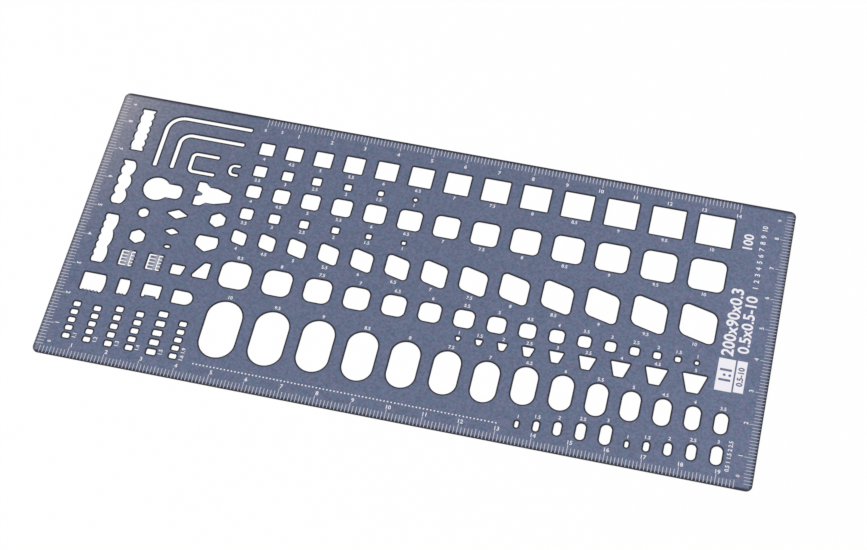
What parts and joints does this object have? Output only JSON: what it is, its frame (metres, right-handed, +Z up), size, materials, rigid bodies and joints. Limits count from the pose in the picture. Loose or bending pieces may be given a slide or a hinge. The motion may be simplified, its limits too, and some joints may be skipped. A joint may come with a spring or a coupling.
{
  "type": "cutting template",
  "caption": "Thin etched steel template with graded rows of openings, scalloped and bent slots, and ruler scales on all four edges, for guiding a knife or scriber.",
  "frame": {"origin": "middle of the sheet's underside", "axes": "+X along the long edge towards the largest squares, +Y across the sheet away from the longest scale, +Z up out of the marked face"},
  "size_m": [0.2, 0.09, 0.0003],
  "materials": {
    "etched_steel": "fine satin, bluish grey, with pale half-etched scale marks and numbers"
  },
  "bodies": {
    "root": {"template_sheet": "etched_steel"}
  },
  "joints": []
}
